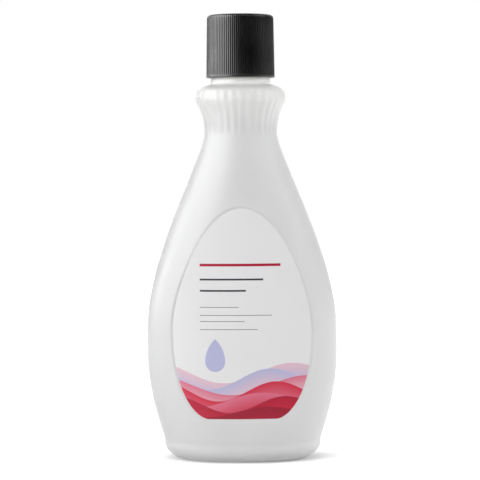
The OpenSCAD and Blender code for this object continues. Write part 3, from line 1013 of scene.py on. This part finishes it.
class BOTTLE_OT_stage(bpy.types.Operator):
    """Sets the floor, the lamps, the world and the camera"""
    bl_idname = "bottle.stage"
    bl_label = "Stage"

    def execute(self, context):
        studio = context.scene.studio
        add_floor(studio)
        for name, direction, rise in LAMPS:
            add_lamp(name, getattr(studio, name), direction, rise)
        set_world(context.scene)
        add_camera(context.scene, studio)
        context.scene.view_settings.view_transform = "Standard"
        return {"FINISHED"}


def seen_ray(tree):
    """1 for what the camera, a reflection or a clear body sees, and 0 for light that falls on things."""
    path = add(tree, "ShaderNodeLightPath").outputs
    return maths(tree, "MAXIMUM", maths(tree, "MAXIMUM", path["Is Camera Ray"], path["Is Glossy Ray"]),
                 path["Is Transmission Ray"])


def add_floor(studio):
    """A wide pale floor that keeps the object's shadow, adds a painted shadow round the foot where its glow
    is weak, and is white elsewhere.
    """
    mesh = bpy.data.meshes.new("floor")
    corners = [(x, y, 0) for x, y in ((-FLOOR_HALF, FLOOR_FRONT), (FLOOR_HALF, FLOOR_FRONT),
                                      (FLOOR_HALF, FLOOR_HALF), (-FLOOR_HALF, FLOOR_HALF))]
    mesh.from_pydata(corners, [], [(0, 1, 2, 3)])
    floor = new_object("floor", mesh)
    material, tree, shader = new_material("floor")
    squeezed = vectors(tree, "MULTIPLY", object_place(tree), PAINTED_SHADOW_SQUEEZE)
    away = vectors(tree, "DISTANCE", squeezed, PAINTED_SHADOW_MIDDLE)
    # The glow is weak near the foot, which paints a shadow there, and rises to white further out.
    levels = list(studio.ground_glow_and_painted_shadow)
    glow = levels[0]
    for reach, before, after in zip(GLOW_AND_PAINTED_SHADOW_REACHES, levels, levels[1:]):
        glow = maths(tree, "ADD", glow, spread(tree, away, reach, (0.0, after - before)))
    set_inputs(tree, shader, {
        "Base Color": rgba(studio.ground),
        "Roughness": 1.0,
        "Specular IOR Level": 0.0,
        "Emission Color": rgba((1, 1, 1)),
        "Emission Strength": maths(tree, "MULTIPLY", seen_ray(tree), glow),
    })
    mesh.materials.append(material)


def add_lamp(name, watts, direction, rise):
    """A soft lamp, by its direction from the camera, rightwards, and its rise, both in degrees."""
    data = bpy.data.lights.new(name, "AREA")
    data.shape = "RECTANGLE"
    data.size, data.size_y = LAMP_SIZE
    data.energy = watts
    lamp = new_object(name, data)
    turn, up = math.radians(direction), math.radians(rise)
    level = LAMP_REACH * math.cos(up)
    away = Vector((level * math.sin(turn), -level * math.cos(turn), LAMP_REACH * math.sin(up)))
    lamp.location = LAMP_AIM + away
    lamp.rotation_euler = away.to_track_quat("Z", "Y").to_euler()
    lamp.visible_glossy = False


def window_light(tree, facing, half, low, high, strength):
    """Strength of a soft-edged window in the studio's walls, by the direction of the ray."""
    turn, half, low, high, edge = (math.radians(a) for a in (facing, half, low, high, WINDOW_EDGE))
    direction = add(tree, "ShaderNodeTexCoord").outputs["Generated"]
    level = vectors(tree, "NORMALIZE", vectors(tree, "MULTIPLY", direction, (1, 1, 0)))
    along = vectors(tree, "DOT_PRODUCT", level, (math.sin(turn), -math.cos(turn), 0))
    away = maths(tree, "ARCCOSINE", maths(tree, "MINIMUM", along, 1.0))
    rise = maths(tree, "ARCSINE", split(tree, direction)["Z"])
    light = strength
    for inside in ((half, away), (rise, low), (high, rise)):
        light = maths(tree, "MULTIPLY", light, spread(tree, maths(tree, "SUBTRACT", *inside), (0.0, edge)))
    return light


def set_world(scene):
    """White all round for the camera, and the studio's windows for what the gloss mirrors."""
    world = bpy.data.worlds.new("studio")
    scene.world = world
    world.use_nodes = True
    world.cycles.sampling_method = "NONE"
    tree = world.node_tree
    light = add(tree, "ShaderNodeLightPath").outputs["Is Camera Ray"]
    for window in WINDOWS:
        light = maths(tree, "MAXIMUM", light, window_light(tree, *window))
    set_inputs(tree, tree.nodes["Background"], {"Color": rgba((1, 1, 1)),
                                                "Strength": maths(tree, "MULTIPLY", light, seen_ray(tree))})


def add_camera(scene, studio):
    """The photograph's view."""
    data = bpy.data.cameras.new("camera")
    data.lens = studio.lens
    data.sensor_width = SENSOR_WIDTH
    camera = new_object("camera", data)
    tilt = Euler((math.pi / 2 - studio.pitch, 0, 0)).to_matrix().to_4x4()
    camera.matrix_world = (Matrix.Translation((studio.side, -studio.distance, studio.eye)) @ tilt
                           @ Matrix.Rotation(studio.roll, 4, "Z"))
    scene.camera = camera


class BOTTLE_PT_panel(bpy.types.Panel):
    """Lists the sizes, finishes and pieces"""
    bl_label = "Squeeze bottle"
    bl_space_type = "VIEW_3D"
    bl_region_type = "UI"
    bl_category = "Bottle"

    def draw(self, context):
        layout = self.layout
        for name in GROUPS:
            box = layout.box()
            box.label(text=name.replace("_", " ").capitalize())
            settings = getattr(context.scene, name)
            for key in settings.__annotations__:
                box.prop(settings, key)
        for operator in OPERATORS:
            layout.operator(operator.bl_idname)


GROUPS = {"body_sizes": BodySizes, "neck_sizes": NeckSizes, "cap_sizes": CapSizes, "label_sizes": LabelSizes,
          "finishes": Finishes, "studio": Studio}
OPERATORS = (BOTTLE_OT_body, BOTTLE_OT_label, BOTTLE_OT_cap, BOTTLE_OT_inner_parts, BOTTLE_OT_stage)


def register():
    """Registers the settings, the operators and the panel."""
    for kind in (*GROUPS.values(), *OPERATORS, BOTTLE_PT_panel):
        bpy.utils.register_class(kind)
    for name, kind in GROUPS.items():
        setattr(bpy.types.Scene, name, PointerProperty(type=kind))


def unregister():
    """Takes them away again."""
    for name in GROUPS:
        delattr(bpy.types.Scene, name)
    for kind in (BOTTLE_PT_panel, *reversed(OPERATORS), *reversed(GROUPS.values())):
        bpy.utils.unregister_class(kind)


def main():
    """Builds every piece and the stage."""
    register()
    for operator in OPERATORS:
        group, name = operator.bl_idname.split(".")
        getattr(getattr(bpy.ops, group), name)()


if __name__ == "__main__":
    main()
